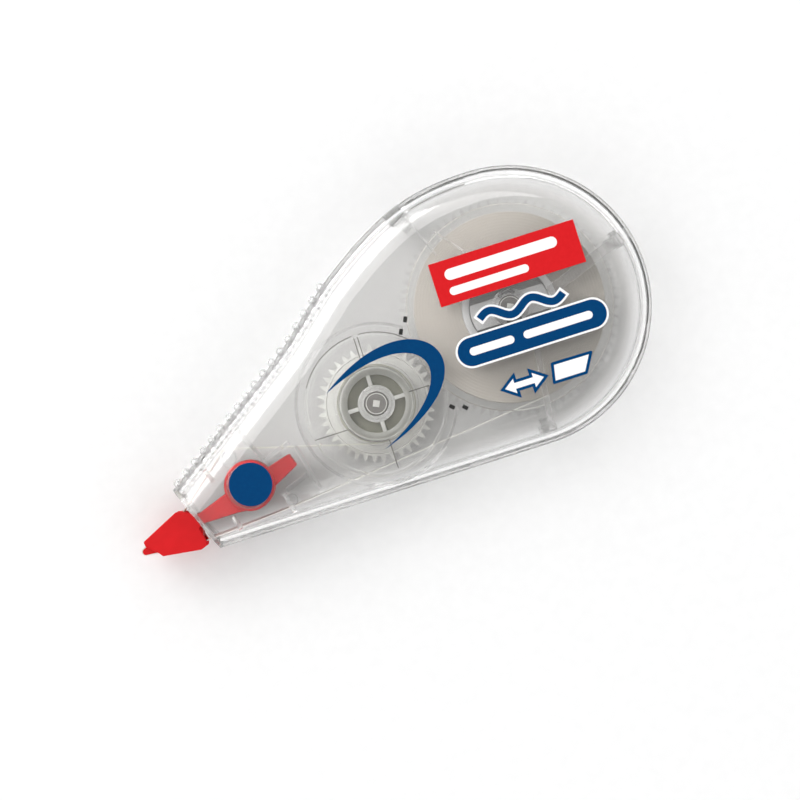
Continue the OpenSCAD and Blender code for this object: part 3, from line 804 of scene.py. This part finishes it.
def supply_reel():
    low, high = gear_z
    web = low + gear_web_t
    teeth = gear_outline(supply_c, supply_teeth, takeup_bearing)
    bm = bmesh.new()
    wheel(bm, teeth, supply_c, low, high, (
        (13.25, high), (13.2, high - 0.05), (13.15, web), (6.75, web), (6.7, high - 0.05), (6.65, high),
        (5.2, high), (5.15, high + 0.6), (4.45, high + 0.6), (4.4, high),
        (2.4, high), (2.4, 8.2), (2.3, 8.3), (1.75, 8.3), (1.65, 8.2), *bearing_profile, (2.4, low),
    ))
    wheel_piece = piece("supply_gear_wheel", bm, gear_clear, "supply_drive", "supply_gear")
    wheel_piece.visible_diffuse = False

    bm = bmesh.new()
    ring(bm, supply_c, core_r[0], core_r[1], high + 0.2, tape_z[1] + 0.7, 0.12)
    piece("supply_core_ring", bm, clutch_natural, "supply_spool", "supply_core")

    low, high = corners("supply_flange")
    bm = bmesh.new()
    ring(bm, supply_c, (high.x - low.x) / 2, core_r[0] + core_fit, low.z, high.z, 0.15, 160)
    piece("supply_flange_disc", bm, disc_clear, "supply_spool", "supply_flange", sharp=50)

    bm = bmesh.new()
    ring(bm, supply_c, supply_roll_r, core_r[0] + core_fit, *tape_z, 0.1, 160)
    piece("supply_coil", bm, coil_white, "supply_spool", "supply_tape_roll")

    shoe_r, half_h = 5.35, 1.75
    reach = math.degrees(math.asin(half_h / shoe_r))
    outline = arc(supply_c, shoe_r, -reach, reach, 12) + arc(supply_c, shoe_r, 180 - reach, 180 + reach, 12)
    bm = bmesh.new()
    bored_slab(bm, rounded(outline, 0.2, 3), supply_c, axle_r + axle_fit, 8.35, 9.65, 0.1)
    piece("clutch_bar", bm, clutch_natural, "supply_drive", "clutch_spring")


def takeup_reel():
    low, high = gear_z
    web = low + gear_web_t
    # turned by half a tooth, so that a gap of this gear faces a tooth of the other
    teeth = gear_outline(takeup_c, takeup_teeth, takeup_bearing + 180 + 180 / takeup_teeth)
    bm = bmesh.new()
    wheel(bm, teeth, takeup_c, low, high, (
        (6.85, high), (6.8, high - 0.05), (6.75, web), (5.65, web), (5.6, high - 0.05), (5.55, high),
        (2.4, high), (2.4, 3.9), (1.65, 3.9), *bearing_profile, (2.4, low),
    ))
    wheel_piece = piece("takeup_gear_wheel", bm, gear_natural, "takeup_reel", "takeup_gear")
    wheel_piece.visible_diffuse = False

    top = corners("takeup_hub")[1].z
    bm = bmesh.new()
    ring(bm, takeup_c, hub_r[0], hub_r[1], high, top, 0.12)
    ring(bm, takeup_c, hub_ring_r[0], hub_ring_r[1], high + 0.4, top, 0.12)
    for a in range(0, 360, 90):
        inner, outer = polar(takeup_c, hub_ring_r[0] - 0.2, a), polar(takeup_c, hub_r[1] + 0.2, a)
        bar(bm, inner, outer, 0.55, 7.8, top - 0.05)
    piece("takeup_hub_wheel", bm, hub_natural, "takeup_reel", "takeup_hub")

    bm = bmesh.new()
    ring(bm, takeup_c, hub_r[1] + 0.15, hub_ring_r[0] - 0.15, 7.2, 8)
    piece("takeup_hub_web", bm, web_grey, "takeup_reel")

    bm = bmesh.new()
    ring(bm, takeup_c, spent_roll_r, hub_r[0] + core_fit, *tape_z, 0.05, 128)
    piece("spent_coil", bm, coil_spent, "takeup_reel", "spent_tape_roll")
    takeup_flange()


def takeup_flange():
    """Clear disc with raised rim, hub ring and spokes; its fine creases along the quarter panels are grey
    strips of painted shade.
    """
    low, high = corners("takeup_flange")
    flange_r = (high.x - low.x) / 2
    floor_z, sunk = high.z - 0.25, low.z + 0.1
    inner_r = hub_r[0] + 0.25
    solids = [bmesh.new() for _ in range(7)]
    ring(solids[0], takeup_c, flange_r, hub_r[1], low.z, floor_z, 0.05, 160)
    # the rim has its own number of steps, so that no corner of it falls on one of the floor's
    ring(solids[1], takeup_c, flange_r - 0.02, flange_r - 0.5, sunk, high.z, 0.05, 144)
    ring(solids[2], takeup_c, inner_r, hub_r[1] + 0.02, sunk, high.z, 0.05)
    spoke_top = high.z - 0.01
    for bm, a in zip(solids[3:6], (0, 90, 270)):
        inner, outer = polar(takeup_c, inner_r - 0.2, a), polar(takeup_c, flange_r - 0.3, a)
        bar(bm, inner, outer, 0.5, sunk, spoke_top, 0.05)
    land = [takeup_c + Vector((-r, -0.98)) for r in (inner_r - 0.6, flange_r - 0.3)]
    bar(solids[6], *land, 2.45, sunk, spoke_top, 0.05)
    piece("takeup_flange_disc", fused(solids), disc_clear, "takeup_reel", "takeup_flange", sharp=50)

    # Grey strips along the creases: painted shade.
    width, z0, z1 = 0.14, high.z - 0.03, high.z - 0.005
    bm = bmesh.new()
    for path in (
        [takeup_c + Vector((-9.3, -2.2)), takeup_c + Vector((-4.6, -2.2))],
        arc(takeup_c, inner_r - 0.05, 206, 272),
        [takeup_c + Vector((4.6, 0.2)), takeup_c + Vector((7.4, 0.2))],
        [takeup_c + Vector((-0.25, 6.2)), takeup_c + Vector((-0.25, 9.2))],
        [takeup_c + Vector((0.25, 6.2)), takeup_c + Vector((0.25, 9.2))],
        [takeup_c + Vector((0.2, -5.1)), takeup_c + Vector((0.2, -9.0))],
        arc(takeup_c, flange_r - 0.1, 93, 150),
        arc(takeup_c, flange_r - 0.1, 45, 87),
    ):
        stroke(bm, path, width, z0, z1)
    piece("takeup_flange_creases", bm, crease_shade_grey, "takeup_reel")


# ---------------------------------------------------------------- applicator and tape

nib_c, nib_r = Vector((-37.3, -16.5)), 0.42  # round edge that presses the tape down
nib_arc = (114, 266)  # from the blade's top side round to its underside
blade = [
    (-29, -15.2), (-29, -13.8), (-31.4, -13.45), *arc(nib_c, nib_r, *nib_arc, 12),
    (-30.2, -17.45), (-29.3, -16.8),
]
cheek = [
    (-28.9, -15.3), (-29.2, -13.8), (-30.8, -12.9), (-31.9, -12.65), (-37.2, -15.15), (-37.1, -15.85),
    (-35.65, -17.2), (-35.25, -17.75), (-30.1, -18.45), (-29.25, -18.15), (-29.05, -17.5), (-29.5, -15.6),
]
stem = [
    (-30, -13.7), (-29, -13.75), (-24.9, -12.3), (-22, -11), (-21, -13.5), (-22, -15.4),
    (-24, -15.2), (-30, -15.2),
]
tail = [(-20.4, -10.6), (-18.4, -10.65), (-15.1, -9.75), (-14.5, -11.5), (-18.3, -13.4), (-20, -14)]
blade_w = 5.2
cheek_t = 0.6
stem_w, tail_w, boss_w = 4.8, 4.0, 6.0
boss_r = 3.4


def points_of(pairs):
    """Outline from plain pairs, turned to run counter-clockwise."""
    points = [Vector(p) for p in pairs]
    area = sum(a.x * b.y - b.x * a.y for a, b in zip(points, points[1:] + points[:1]))
    return points if area > 0 else points[::-1]


def applicator():
    bm = bmesh.new()
    slab(bm, rounded(points_of(blade), 0.25), part_z - blade_w / 2, part_z + blade_w / 2, 0.05)
    for s in (-1, 1):
        middle = part_z + s * (blade_w + cheek_t) / 2
        slab(bm, rounded(points_of(cheek), 0.3), middle - cheek_t / 2, middle + cheek_t / 2, 0.14)
    slab(bm, rounded(points_of(stem), 0.4), part_z - stem_w / 2, part_z + stem_w / 2, 0.25)
    slab(bm, rounded(points_of(tail), 0.3), part_z - tail_w / 2, part_z + tail_w / 2, 0.2)
    ring(bm, boss_c, boss_r, boss_pin_r + axle_fit, part_z - boss_w / 2, part_z + boss_w / 2, 0.25)
    return piece("applicator_body", bm, red_plastic, "applicator", "applicator_tip")


def arc_points(centre, r, start, stop, steps):
    """Points on an arc from one point's direction to another's, the short way round."""
    a = math.atan2(start.y - centre.y, start.x - centre.x)
    b = math.atan2(stop.y - centre.y, stop.x - centre.x)
    turn = (b - a + math.pi) % (2 * math.pi) - math.pi
    angles = [a + turn * i / steps for i in range(1, steps)]
    return [Vector(centre) + r * Vector((math.cos(t), math.sin(t))) for t in angles]


guide_gap = 0.06  # between the tape and a guide post
coil_gap = 0.07
nib_gap = 0.015


def between(a, b, steps):
    """Points on the straight way from a to b, without its ends."""
    return [a.lerp(b, i / steps) for i in range(1, steps)]


def tapes():
    """Fresh tape from the full coil to the blade's edge, and spent backing from there to the small coil."""
    off = tape_t / 2 + guide_gap
    blade_under, blade_top = Vector((-30.25, -17.6)), Vector((-31.5, -13.35))
    edge = arc(nib_c, nib_r + tape_t / 2 + nib_gap, *nib_arc[::-1], 12)
    half = len(edge) // 2

    feed = tangent(supply_c, supply_roll_r + coil_gap, lower_guide, lower_guide_r + off, 1)
    entry = tangent(lower_guide, lower_guide_r + off, blade_under, 0, 1)
    fresh = [feed[0], *between(*feed, 20), feed[1]]
    fresh += arc_points(lower_guide, lower_guide_r + off, feed[1], entry[0], 3)
    fresh += [entry[0], *between(entry[0], blade_under, 12), blade_under]
    fresh += between(blade_under, edge[0], 4) + edge[:half + 1]

    exit_line = tangent(blade_top, 0, upper_guide, upper_guide_r + off, 1)
    windup = tangent(upper_guide, upper_guide_r + off, takeup_c, -(spent_roll_r + coil_gap), 1)
    spent = edge[half:] + between(edge[-1], blade_top, 4) + [blade_top]
    spent += between(*exit_line, 8) + [exit_line[1]]
    spent += arc_points(upper_guide, upper_guide_r + off, exit_line[1], windup[0], 6)
    spent += [windup[0], *between(*windup, 16), windup[1]]
    for name, path, material, nodes in (
        ("fresh_tape", fresh, tape_white, ("feed_tape", "tip_tape")),
        ("spent_backing", spent, tape_backing, ("return_tape",)),
    ):
        bm = bmesh.new()
        ribbon(bm, path, *tape_z, tape_t)
        obj = piece(name, bm, material, None, sharp=60)
        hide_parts(*nodes)
        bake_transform(obj)


# ---------------------------------------------------------------- prints

ink_t = 0.04
panel_c, panel_size = Vector((20.3, 5.6)), (20.2, 5.9)
badge_c, badge_size = Vector((20.7, -4.2)), (20.6, 3.8)
dot_c = Vector((-21.05, -12.1))
icon_c = Vector((24.5, -10.25))
icon = [(-2.75, -0.95), (1.35, -0.95), (2.5, 1.05), (-2.35, 1.1)]
arrow_c = Vector((17.7, -10.25))
arrow = [
    (2.7, 0), (1.3, 1), (1.3, 0.4), (-1.3, 0.4), (-1.3, 1),
    (-2.7, 0), (-1.3, -1), (-1.3, -0.4), (1.3, -0.4), (1.3, -1),
]
wave_c, wave_l, wave_h = Vector((20.4, -0.35)), 11.6, 0.7
rim_w = 0.28


def film(name, outline, material, *nodes, z=0.0, hole=None):
    """Printed area of the front face. A hole outline makes it a rim."""
    bm = bmesh.new()
    low, high = casing_t + z, casing_t + z + ink_t
    if hole:
        loft(bm, [lift(outline, low), lift(outline, high), lift(hole, high), lift(hole, low)], loop=True)
    else:
        loft(bm, [lift(outline, low), lift(outline, high)])
    return piece(name, bm, material, "casing", *nodes, sharp=50)


def prints():
    half = Vector(panel_size) / 2
    signs = ((-1, -1), (1, -1), (1, 1), (-1, 1))
    shape = [panel_c + Vector((x * half.x, y * half.y)) for x, y in signs]
    film("red_panel_ink", shape, red_ink, "red_panel")
    film("blue_badge_ink", pill(badge_c, *badge_size), blue_ink, "blue_badge")
    film("badge_rim_ink", pill(badge_c, *badge_size, rim_w), white_ink, "badge_rim",
         hole=pill(badge_c, *badge_size, 0.01))
    film("blue_dot_ink", circle(dot_c, 2.9), blue_ink, "blue_dot")
    shape = [icon_c + p for p in points_of(icon)]
    film("tape_icon_ink", shape, white_ink, "tape_icon")
    film("icon_frame_ink", rounded(inset(shape, -0.4), 0.25), blue_ink, "tape_icon_frame",
         hole=[p for q in inset(shape, -0.01) for p in [q] * 6])
    shape = [arrow_c + p for p in points_of(arrow)]
    film("length_arrow_ink", shape, white_ink, "length_arrow")
    film("arrow_frame_ink", inset(shape, -0.4), blue_ink, "length_arrow_frame", hole=inset(shape, -0.01))
    for name, material, node, grow in (
        ("wave_rim_ink", white_ink, "wave_rim", rim_w), ("wave_ink", blue_ink, "blue_wave", 0.0),
    ):
        length = wave_l + 2 * grow
        path = [wave_c + Vector((x, wave_h * math.sin(4 * math.pi * x / wave_l)))
                for x in (length * (i / 80 - 0.5) for i in range(81))]
        bm = bmesh.new()
        base = casing_t + (0 if grow else ink_t / 2)
        stroke(bm, path, 1.0 + 2 * grow, base, base + ink_t / 2)
        piece(name, bm, material, "casing", node, sharp=50)
    steps = 96
    ends = ((-7.86, -3.66), (-2.66, -13.07))
    outer = [bezier(ends[0], (7.09, 7.09), (17.09, -7), ends[1], i / steps) for i in range(steps + 1)]
    inner = [bezier(ends[0], (7.65, 3.36), (11.87, -6.82), ends[1], i / steps) for i in range(steps + 1)]
    film("swoosh_ink", points_of([*inner, *outer[-2:0:-1]]), blue_ink, "blue_swoosh")
    for name, node, base, bars in (
        ("panel_bars_ink", "panel_bars", panel_c, (((-0.6, 0.9), (15.6, 1.5)), ((-2.9, -1.35), (11, 1.1)))),
        ("badge_bars_ink", "badge_bars", badge_c, (((-5.6, 0), (6.2, 1.1)), ((3.6, 0), (9.6, 1.1)))),
    ):
        bm = bmesh.new()
        for centre, size in bars:
            outline = pill(base + Vector(centre), *size)
            loft(bm, [lift(outline, casing_t + ink_t + t) for t in (0, ink_t)])
        piece(name, bm, white_ink, "casing", node)


shell("front_shell_wall", "front_shell", False)
shell("back_shell_wall", "back_shell", True)
grip_beads()
back_fittings()
front_fittings()
nose_frame()
supply_reel()
takeup_reel()
applicator()
tapes()
prints()

# ---------------------------------------------------------------- floor, light and camera


sky_level, zenith_level = 1.0, 0.35  # the room is darker straight above, where the camera is
sky_strength = 1.1


def studio():
    bm = bmesh.new()
    bmesh.ops.create_grid(bm, x_segments=2, y_segments=2, size=900)
    for v in bm.verts:
        v.co.z = -0.1
    n = Nodes("paper_floor")
    fine = n.noise(0.6, 3.0)
    n.set(Base_Color=n.ramp(fine, (0.9, 0.9, 0.9), (0.92, 0.92, 0.92)), Roughness=0.9)
    floor = piece("floor", bm, n.material, None)

    world = bpy.data.worlds.new("studio")
    scene.world = world
    world.use_nodes = True
    tree = world.node_tree
    coords = tree.nodes.new("ShaderNodeTexCoord")
    split = tree.nodes.new("ShaderNodeSeparateXYZ")
    ramp = tree.nodes.new("ShaderNodeValToRGB")
    tree.links.new(coords.outputs["Generated"], split.inputs[0])
    tree.links.new(split.outputs["Z"], ramp.inputs["Fac"])
    for element, level, height in zip(ramp.color_ramp.elements, (sky_level, zenith_level), (0.86, 0.97)):
        element.color = (level, level, level, 1)
        element.position = height
    background = tree.nodes["Background"]
    tree.links.new(ramp.outputs["Color"], background.inputs["Color"])
    background.inputs["Strength"].default_value = sky_strength

    target = Vector((2, -2, 6)) * MM
    for name, place, size, power, lights_matt in (
        ("key", (-260, 330, 420), (300, 300), 0.7, True),
        ("sheen", (-235, 300, 455), (420, 300), 1.7, False),
        ("halo", (-135, 170, 560), (420, 400), 1.4, False),
        ("rear_strip", (370, 340, 80), (520, 70), 0.9, False),
    ):
        data = bpy.data.lights.new(name, "AREA")
        data.shape = "RECTANGLE"
        data.size, data.size_y = size[0] * MM, size[1] * MM
        data.energy = power
        lamp = bpy.data.objects.new(name, data)
        lamp.location = Vector(place) * MM
        lamp.rotation_euler = (target - lamp.location).to_track_quat("-Z", "Y").to_euler()
        lamp.visible_diffuse = lights_matt
        scene.collection.objects.link(lamp)


def camera():
    """Straight down on the printed face, turned so that the object rises to the right."""
    distance, view_w, turn = 520.0, 107.6, -17.6
    data = bpy.data.cameras.new("camera")
    data.sensor_width = 36
    data.lens = 36 * distance / view_w
    data.clip_start, data.clip_end = 0.01, 10
    cam = bpy.data.objects.new("camera", data)
    cam.location = Vector((1.26, -7.4, part_z + distance)) * MM
    cam.rotation_euler = (0, 0, math.radians(turn))
    scene.collection.objects.link(cam)
    scene.camera = cam


studio()
camera()
scene.view_settings.view_transform = "Standard"
scene.cycles.max_bounces = 64
scene.cycles.transmission_bounces = 64
scene.cycles.transparent_max_bounces = 32
scene.cycles.glossy_bounces = 32  # light trapped in a thick clear edge is reflected inside it many times
scene.cycles.diffuse_bounces = 4
